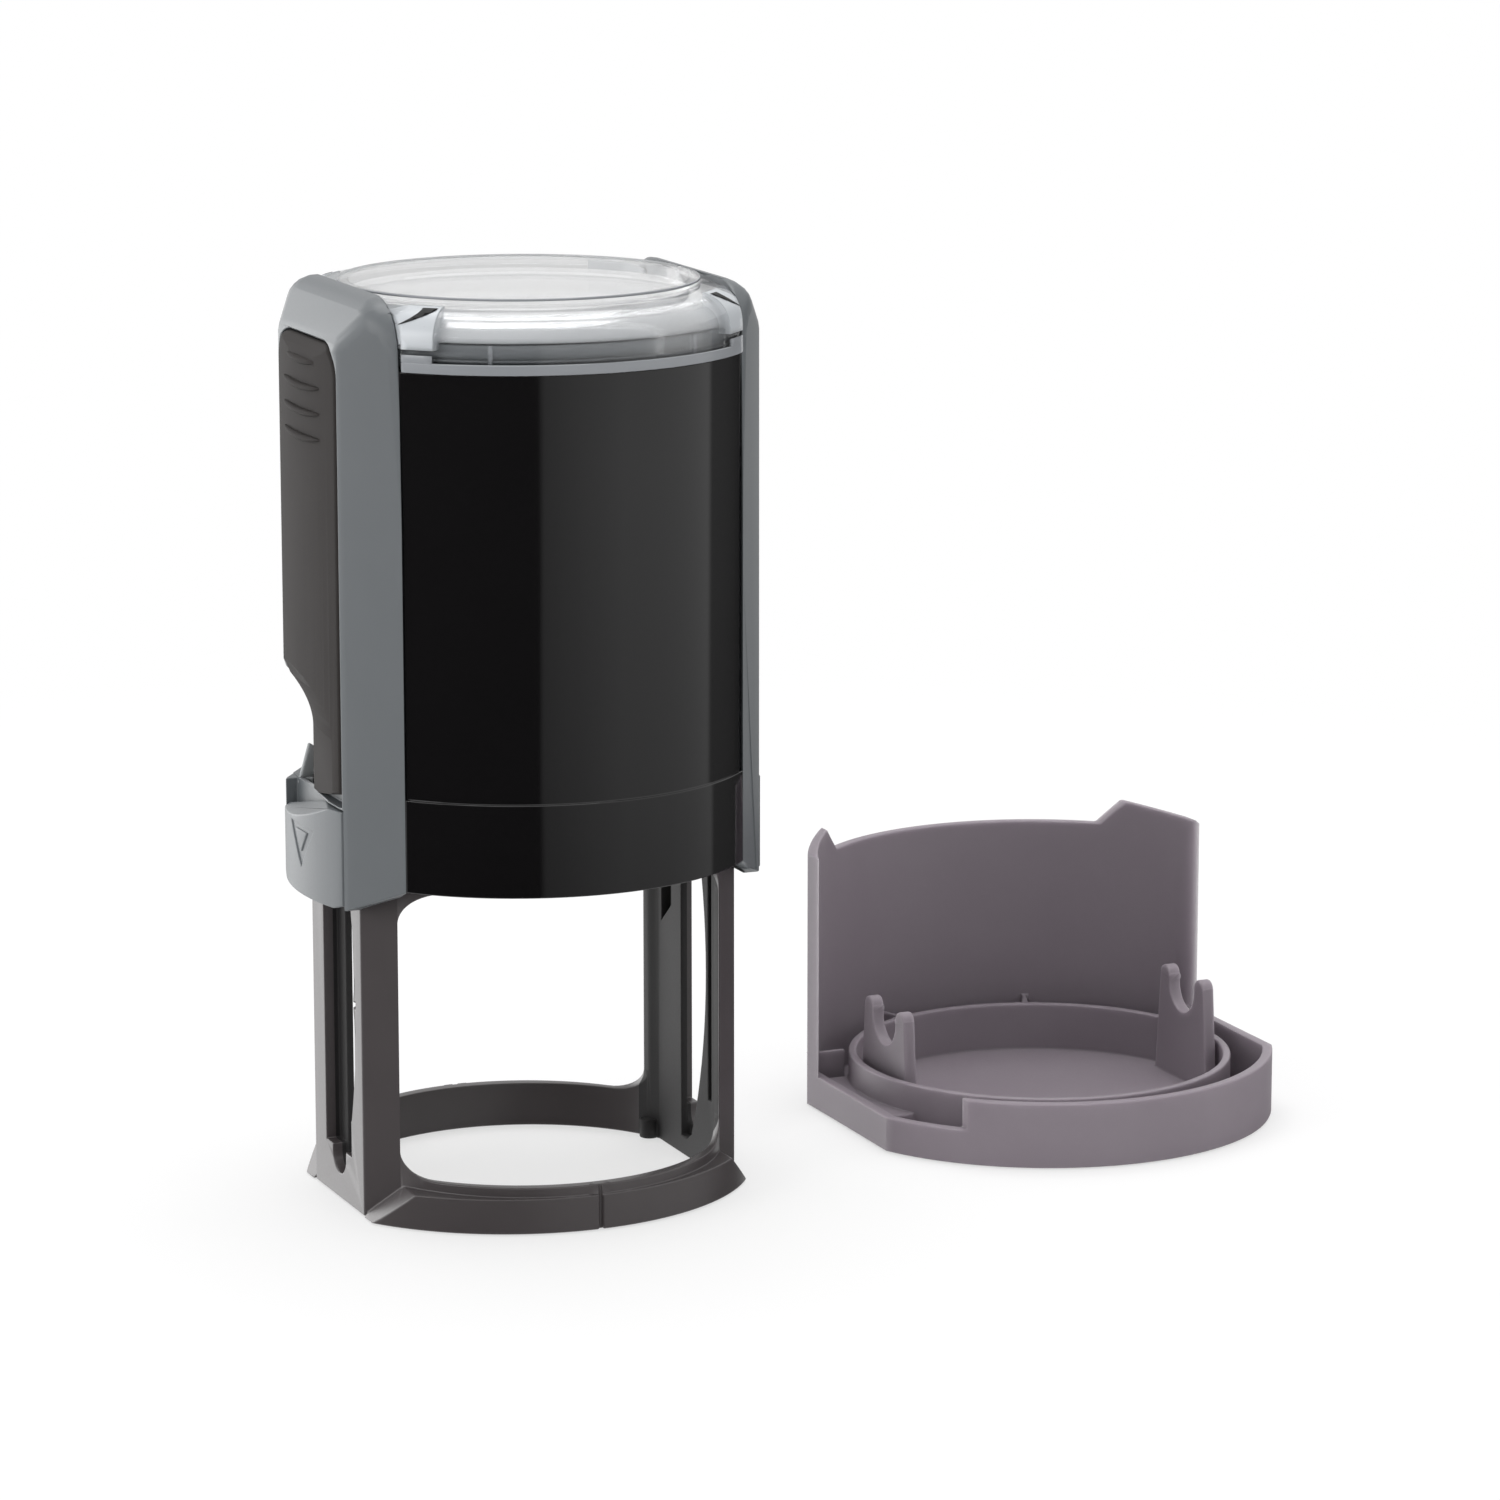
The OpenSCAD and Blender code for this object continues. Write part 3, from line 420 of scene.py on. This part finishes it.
# ridges of the grips: lowest one's height, spacing, half lengths, place along the grip, bend
RIDGE_LOW, RIDGE_PITCH, RIDGE_HALVES = 93.3, 3.02, (6.4, 6.4, 6.4, 5.0)
RIDGE_ALONG, RIDGE_BEND, RIDGE_PROUD, RIDGE_THICK = 0.4, 110, 0.6, 0.45
# radii of the rounded edges
CHEEK_ROUND, GRIP_ROUND, EDGE_ROUND = 3.2, 0.5, 0.15


def cheek_planes():
    """Outside of the right cheek, without its underside."""
    flank = Vector((PANEL_Y - CHEEK_HALF, CHEEK_X - PANEL_X, 0))
    rows = [((CHEEK_X, 0, 0), (1, 0, 0)), ((0, 0, CASING_TOP), (0, 0, 1)),
            ((0, 0, 20), (0, 0, -1)), ((10, 0, 0), (-1, 0, 0)),
            ((CHEEK_X, 0, CHAMFER_Z), (CASING_TOP - CHAMFER_Z, 0, CHEEK_X - CHAMFER_X))]
    for way in (-1, 1):
        rows.append(((CHEEK_X, way * CHEEK_HALF, 0), (flank.x, way * flank.y, 0)))
        rows += arc_planes((0, way * (PANEL_Y - SHOULDER_R), CASING_TOP - SHOULDER_R), SHOULDER_R,
                           4, 86, 12, lambda c, s, way=way: (0, way * c, s))
    return rows


def grip_planes():
    """Outside of the right grip: crowned across, its upper end bent in towards the slope above."""
    crown_r = (GRIP_HALF ** 2 + GRIP_CROWN ** 2) / (2 * GRIP_CROWN)
    lean = math.degrees(math.asin(GRIP_HALF / crown_r))
    face = CHEEK_X + GRIP_CROWN
    bend_r, bend_to = 6.0, 34
    rows = arc_planes((face - crown_r, 0, 0), crown_r, -lean, lean, 13, lambda c, s: (c, s, 0))
    rows += arc_planes((face - bend_r, 0, GRIP_TOP - bend_r * math.sin(math.radians(bend_to))),
                       bend_r, 4, bend_to, 6, lambda c, s: (c, 0, s))
    rows += [((0, 0, 20), (0, 0, -1)), ((CHEEK_X - 1.3, 0, 0), (-1, 0, 0)),
             ((0, 0, GRIP_TOP - 0.2), (0, 0, 1)),
             # lower end, higher towards the front
             ((CHEEK_X, -GRIP_HALF, 52.1), (0, -0.17, -1))]
    for way in (-1, 1):
        rows.append(((0, way * (GRIP_HALF - 0.1), 0), (0, way, 0)))
        rows += arc_planes((0, way * (GRIP_HALF - 4.1), GRIP_TOP - 4.2), 4.0, 15, 75, 5,
                           lambda c, s, way=way: (0, way * c, s))
    return rows


def ridges(side):
    """Four thin ribs for the thumb, each a long lens bent down in the middle and over the crown."""
    shape = bmesh.new()
    for row, half in enumerate(RIDGE_HALVES):
        rib = bmesh.ops.create_uvsphere(shape, u_segments=16, v_segments=32, radius=1.0)
        for vert in rib["verts"]:
            out, up, along = vert.co
            y = along * half + RIDGE_ALONG
            crown = GRIP_CROWN * (1 - (y / GRIP_HALF) ** 2)
            vert.co = (side * (CHEEK_X + crown + RIDGE_PROUD * out), y,
                       RIDGE_LOW + RIDGE_PITCH * row + RIDGE_THICK * up + y * y / RIDGE_BEND)
            if row == 3:
                vert.co.x -= side * 0.12    # the grip bends in here
            vert.co *= MM
    bmesh.ops.recalc_face_normals(shape, faces=shape.faces)
    return shape


for side, name in ((-1, "left"), (1, "right")):
    cheek = trimmed(cad_copy(name + "_cheek"),
                    rounded(for_side(side, cheek_planes()), CHEEK_ROUND))
    soften(cheek, EDGE_ROUND)
    cad_piece(name + "_cheek", cheek)

    grip = trimmed(cad_copy(name + "_grip"), rounded(for_side(side, grip_planes()), GRIP_ROUND))
    cad_piece(name + "_grip", grip)
    finish_piece(name + "_grip_ridges", ridges(side), soft_touch_tpe, "handle")

    # lock button: its top is a ledge that slopes outwards and to the rear
    button = keep_behind(cad_copy(name + "_lock_button"), for_side(side, [(LEDGE, LEDGE_UP)]))
    soften(button, EDGE_ROUND)
    cad_piece(name + "_lock_button", button)

for node, radius in (("base_frame", 0.18), ("cover_shell", EDGE_ROUND), ("protective_cap", 0.22),
                     ("clear_window", 0.12)):
    shape = cad_copy(node)
    soften(shape, radius)
    cad_piece(node, shape)

# the return spring hangs from the casing; the whole stroke squeezes it, but this piece only rides
# with the handle
coil = finish_piece("return_coil", cad_copy("return_spring"), STEEL, "handle",
                    "return_spring")
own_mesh(coil)


# ---------- turned and sector-shaped pieces ----------

def turned(profile):
    """A ring turned about Z from a closed outline of radius and height in mm."""
    shape = bmesh.new()
    row = [shape.verts.new((radius * MM, 0, height * MM)) for radius, height in profile]
    edges = [shape.edges.new((row[i - 1], row[i])) for i in range(len(row))]
    bmesh.ops.spin(shape, geom=row + edges, axis=(0, 0, 1), cent=(0, 0, 0), angle=2 * math.pi,
                   steps=180, use_merge=True)
    bmesh.ops.remove_doubles(shape, verts=shape.verts, dist=1e-7)
    bmesh.ops.recalc_face_normals(shape, faces=shape.faces)
    return shape


BETWEEN_CHEEKS = [((21.3, 0, 0), (1, 0, 0)), ((-21.3, 0, 0), (-1, 0, 0))]


def sector(side, front, first, last):
    """Planes that leave a sector between two angles, counted from the front or the rear towards
    one side; side is -1 on the left, and front is -1 at the front."""
    rows = [((0, 0, 0), (0, -front, 0)), ((0, 0, 0), (-side, 0, 0))]
    for angle, sign in ((first, -1), (last, 1)):
        turn = math.radians(angle)
        rows.append(((0, 0, 0), (sign * side * math.cos(turn), -sign * front * math.sin(turn), 0)))
    return rows


def shoulder(radius, first=0, last=90):
    """The window's round shoulder as a row of radius and height, drawn about its middle."""
    rows = []
    for step in range(SHOULDER_STEPS + 1):
        turn = math.radians(first + (last - first) * step / SHOULDER_STEPS)
        rows.append((SHOULDER_MIDDLE[0] + radius * math.cos(turn),
                     SHOULDER_MIDDLE[1] + radius * math.sin(turn)))
    return rows


def tray_and_card():
    """What shows through the window: the tray in place of the CAD one, and the card's border."""
    # grey tray, with two grooves round its band
    tray = turned([(17, 104.9), (17, 108.75), (19.2, 108.75), (19.2, 106.1), (26.3, 106.1),
                   (26.3, 104.6), (25.9, 104.6), (25.9, 104.38), (26.3, 104.38), (26.3, 104.05),
                   (25.8, 104.05), (25.8, 103.8), (26.3, 103.8), (26.3, 102.85),
                   (25.1, 102.85), (25.1, 104.9)])
    cad_piece("card_tray", keep_behind(tray, BETWEEN_CHEEKS))
    # turned-down border of the card under the round shoulder, pale grey as a painted reflection of
    # the overhead light
    border = turned(shoulder(2.2, 2, 88) + [(20.3, 108.5), (20.3, 108.25)]
                    + shoulder(1.95, 88, 2))
    finish_piece("card_border_painted_reflection", keep_behind(border, BETWEEN_CHEEKS), reflection_painted_card, "handle")


def window_rims():
    """Fine details that run right round the window."""
    # lip round the window's foot, no further out at the front than the casing
    lip = turned([(27.7, 102.85), (27.83, 102.85), (27.9, 102.95), (27.9, 103.9),
                  (27.83, 104.05), (27.7, 104.05)])
    keep_behind(lip, BETWEEN_CHEEKS + [((0, -27.799, 0), (0, -1, 0))])
    finish_piece("window_lip", lip, smoky_styrene, "top_window")
    # fine grey edge round the raised top of the window
    line = turned([(21.4, 110.6), (21.62, 110.6), (21.62, 110.8), (21.55, 110.87), (21.4, 110.87)])
    finish_piece("window_edge", keep_behind(line, BETWEEN_CHEEKS), smoky_styrene, "top_window")


def window_corner(side, front, label):
    """Clip, its foot and gap, and the tray's rib, in one corner; side and front are -1 or 1."""
    corner = (side * CLIP_CORNER_R * math.sin(CLIP_CORNER_ANGLE),
              front * CLIP_CORNER_R * math.cos(CLIP_CORNER_ANGLE))
    # clip: a white block in the corner of the window, its top cut off on a slant
    clip = turned([(24.2, 105.5), (27.84, 105.5)] + shoulder(4.04)[:-1] + [(24.2, 110.2)])
    keep_behind(clip, BETWEEN_CHEEKS + sector(side, front, 41.5, 60)
                + [((*corner, 110.2), (side * 0.42, 0, 0.9))])
    finish_piece(label + "_clip", clip, frosted_styrene, "top_window")
    foot = turned([(27.6, 104.0), (27.88, 104.0), (27.88, 104.9), (27.6, 104.9)])
    keep_behind(foot, BETWEEN_CHEEKS + sector(side, front, 42, 60))
    finish_piece(label + "_clip_foot", foot, smoky_styrene, "top_window")
    # dark wedge under the clip's slanting top: a black solid as painted shade in the gap
    gap = turned([(24.6, 107.6), (27.2, 107.6)] + shoulder(4.09, 22, 72) + [(24.6, 109.8)])
    keep_behind(gap, BETWEEN_CHEEKS + sector(side, front, 42.6, 60)
                + [((*corner, 109.55), (side * 0.5, 0, 0.87)),
                   ((*corner, 109.15), (-side * 0.38, 0, -0.92))])
    finish_piece(label + "_clip_gap_painted_shade", gap, nitrile_rubber, "top_window")
    # rib on the tray's band
    rib = turned([(26.2, 103.85), (26.36, 103.85), (26.36, 106.12), (26.2, 106.12)])
    keep_behind(rib, sector(side, front, 27.4, 28.6))
    finish_piece(label + "_tray_rib", rib, smoky_styrene, "handle")


def arrow_floor(side):
    """A curved plate just under the face of a lock button: the floor of its sunk arrow."""
    face_r = BUTTON_R - ARROW_DEPTH
    plate = turned([(face_r - 0.3, 41.0), (face_r, 41.0), (face_r, 47.2), (face_r - 0.3, 47.2)])
    keep_behind(plate, [((0, 0, 0), (-1, 0, 0)), ((0, 4.6, 0), (0, 1, 0)),
                        ((0, -4.6, 0), (0, -1, 0))])
    for vert in plate.verts:
        vert.co.x = side * (vert.co.x + (CHEEK_X + BUTTON_BULGE - BUTTON_R) * MM)
    bmesh.ops.recalc_face_normals(plate, faces=plate.faces)
    return plate


def corner_web(side):
    """Floor of the cut-out in a rear corner, closing the view into the casing."""
    web = turned([(25.35, 49.3), (27.2, 49.3), (27.2, 50.0), (25.35, 50.0)])
    flank = (side * (PANEL_Y - CHEEK_HALF), CHEEK_X - PANEL_X, 0)
    keep_behind(web, [((side * (CHEEK_X - 0.6), CHEEK_HALF, 0), flank),
                      ((side * (CHEEK_X - 0.6), 0, 0), (side, 0, 0))] + sector(side, 1, 40, 67))
    return web


def corner_horn(side):
    """Thin upright point that is left of the wall between the cut-out and the casing's back."""
    corners = ((24.95, 10.2, 49.5), (22.9, 11.6, 49.5), (23.5, 10.6, 53.9), (23.05, 10.9, 53.6))
    return ball_hull([Vector((side * x, y, z)) * MM for x, y, z in corners], 0.22, 2)


tray_and_card()
window_rims()
for side, name in ((-1, "left"), (1, "right")):
    window_corner(side, -1, name + "_front")
    window_corner(side, 1, name + "_rear")
for side, name in ((-1, "left"), (1, "right")):
    finish_piece(name + "_arrow_floor", arrow_floor(side), satin_grey_abs, name + "_button")
    # the thin web and horn take the lighter grey: painted light
    finish_piece(name + "_corner_web", corner_web(side), thin_abs_painted_lighter, "handle")
    finish_piece(name + "_corner_horn", corner_horn(side), thin_abs_painted_lighter, "handle")


# ---------- studio ----------

WHITE = (1, 1, 1, 1)


def background_rays(tree):
    """1 for the rays that look at the backdrop: from the camera, off a gloss or through glass."""
    path = add(tree, "ShaderNodeLightPath")
    gloss = add(tree, "ShaderNodeMath", {"operation": "MAXIMUM"},
                in_0=path.outputs["Is Camera Ray"], in_1=path.outputs["Is Glossy Ray"])
    return add(tree, "ShaderNodeMath", {"operation": "MAXIMUM"}, in_0=gloss.outputs[0],
               in_1=path.outputs["Is Transmission Ray"]).outputs[0]


def stage_piece(name, shape, material):
    """Turns a bmesh into a piece of the studio, which isn't part of the object."""
    mesh = bpy.data.meshes.new(name)
    shape.to_mesh(mesh)
    shape.free()
    mesh.materials.append(material)
    piece = bpy.data.objects.new(name, mesh)
    bpy.context.collection.objects.link(piece)
    return piece


def paper_sweep():
    """White paper under the object: it glows to plain white and keeps a soft shadow."""
    material, tree, shader = new_material("white_paper_sweep")
    shader.inputs["Base Color"].default_value = linear("#f4f4f4")
    shader.inputs["Roughness"].default_value = 0.9
    shader.inputs["Specular IOR Level"].default_value = 0.0
    glow = add(tree, "ShaderNodeEmission", Color=WHITE, Strength=1.0)
    place = add(tree, "ShaderNodeTexCoord").outputs["Object"]
    away = add(tree, "ShaderNodeVectorMath", {"operation": "LENGTH"}, in_0=place)
    fade = add(tree, "ShaderNodeMapRange", Value=away.outputs["Value"], From_Min=0.12,
               From_Max=0.32, To_Min=PAPER_GLOW, To_Max=1.0)
    share = add(tree, "ShaderNodeMath", {"operation": "MULTIPLY"}, in_0=background_rays(tree),
                in_1=fade.outputs[0])
    mix = add(tree, "ShaderNodeMixShader", in_0=share.outputs[0], in_1=shader.outputs[0],
              in_2=glow.outputs[0])
    tree.links.new(mix.outputs[0], tree.nodes["Material Output"].inputs["Surface"])
    shape = bmesh.new()
    bmesh.ops.create_grid(shape, x_segments=1, y_segments=1, size=4.0)
    bmesh.ops.translate(shape, verts=shape.verts, vec=(0, 0, -0.0002))
    floor = stage_piece("floor", shape, material)
    floor.visible_glossy = False


def ramp(tree, value, stops):
    """A colour ramp of greys; stops are pairs of place and linear grey."""
    node = add(tree, "ShaderNodeValToRGB", in_0=value)
    band = node.color_ramp
    while len(band.elements) < len(stops):
        band.elements.new(0.5)
    for element, (place, grey) in zip(band.elements, stops):
        element.position = place
        element.color = (grey, grey, grey, 1)
    return node.outputs[0]


def reflection_wall():
    """A ring of softboxes and dark flags round the table that only gloss sees: long softboxes at
    the front right and the rear left, with dark flags between them."""
    material, tree, shader = new_material("softboxes_and_flags")
    tree.nodes.remove(shader)
    place = add(tree, "ShaderNodeSeparateXYZ",
                in_0=add(tree, "ShaderNodeTexCoord").outputs["Object"])
    back = add(tree, "ShaderNodeMath", {"operation": "MULTIPLY"}, in_0=place.outputs[1], in_1=-1.0)
    turn = add(tree, "ShaderNodeMath", {"operation": "ARCTAN2"}, in_0=place.outputs[0],
               in_1=back.outputs[0])
    share = add(tree, "ShaderNodeMapRange", Value=turn.outputs[0], From_Min=-math.pi,
                From_Max=math.pi)
    stops = [((angle + 180) / 360, grey) for angle, grey in WALL_STOPS]
    glow = ramp(tree, share.outputs[0], stops)
    rise = add(tree, "ShaderNodeMapRange", Value=place.outputs[2], From_Min=-0.08,
               From_Max=0.02, To_Min=0.8, To_Max=1.35)
    light = add(tree, "ShaderNodeEmission", Color=glow, Strength=rise.outputs[0])
    tree.links.new(light.outputs[0], tree.nodes["Material Output"].inputs["Surface"])
    shape = bmesh.new()
    bmesh.ops.create_circle(shape, segments=96, radius=WALL_RADIUS)
    bmesh.ops.translate(shape, verts=shape.verts, vec=(0, 0, WALL_LOW))
    rim = bmesh.ops.extrude_edge_only(shape, edges=shape.edges[:])
    top = [item for item in rim["geom"] if isinstance(item, bmesh.types.BMVert)]
    bmesh.ops.translate(shape, verts=top, vec=(0, 0, WALL_HEIGHT))
    wall = stage_piece("reflection_wall", shape, material)
    wall.visible_camera = wall.visible_diffuse = wall.visible_shadow = False
    wall.visible_transmission = wall.visible_volume_scatter = False


def room():
    """An even pale room for the soft light, plain white where the camera and the gloss see it."""
    world = bpy.data.worlds.new("studio")
    bpy.context.scene.world = world
    world.use_nodes = True
    tree = world.node_tree
    tree.nodes.clear()
    even = add(tree, "ShaderNodeBackground", Color=WHITE, Strength=ROOM_LIGHT)
    white = add(tree, "ShaderNodeBackground", Color=WHITE, Strength=1.0)
    mix = add(tree, "ShaderNodeMixShader", in_0=background_rays(tree), in_1=even.outputs[0],
              in_2=white.outputs[0])
    output = add(tree, "ShaderNodeOutputWorld")
    tree.links.new(mix.outputs[0], output.inputs["Surface"])


def lamp(name, place, target, size, watts):
    """A square softbox that faces its target; lengths in metres."""
    data = bpy.data.lights.new(name, "AREA")
    data.shape, data.size, data.energy = "SQUARE", size, watts
    light = bpy.data.objects.new(name, data)
    light.location = place
    way = Vector(target) - Vector(place)
    light.rotation_euler = way.to_track_quat("-Z", "Y").to_euler()
    bpy.context.collection.objects.link(light)


ROOM_LIGHT = 0.8
PAPER_GLOW = 0.62
WALL_RADIUS, WALL_LOW, WALL_HEIGHT = 0.5, -0.3, 0.55
# the wall's brightness by angle in degrees, 0 in front of the object and 90 on its right
WALL_STOPS = [(-180, 0.8), (-168, 2.6), (-130, 2.4), (-108, 0.8), (-84, 0.04), (-12.5, 0.04),
              (-10.5, 0.33), (30, 0.62), (84, 0.62), (87, 0.2), (119, 0.03), (128, 0.9),
              (150, 0.55)]
paper_sweep()
reflection_wall()
room()
lamp("top_softbox", (0.05, 0.12, 0.75), (0.02, 0, 0.06), 0.5, 2.5)
lamp("left_softbox", (-0.75, -0.15, 0.3), (0.02, 0, 0.05), 0.4, 1.8)

bpy.context.scene.view_settings.view_transform = "Standard"
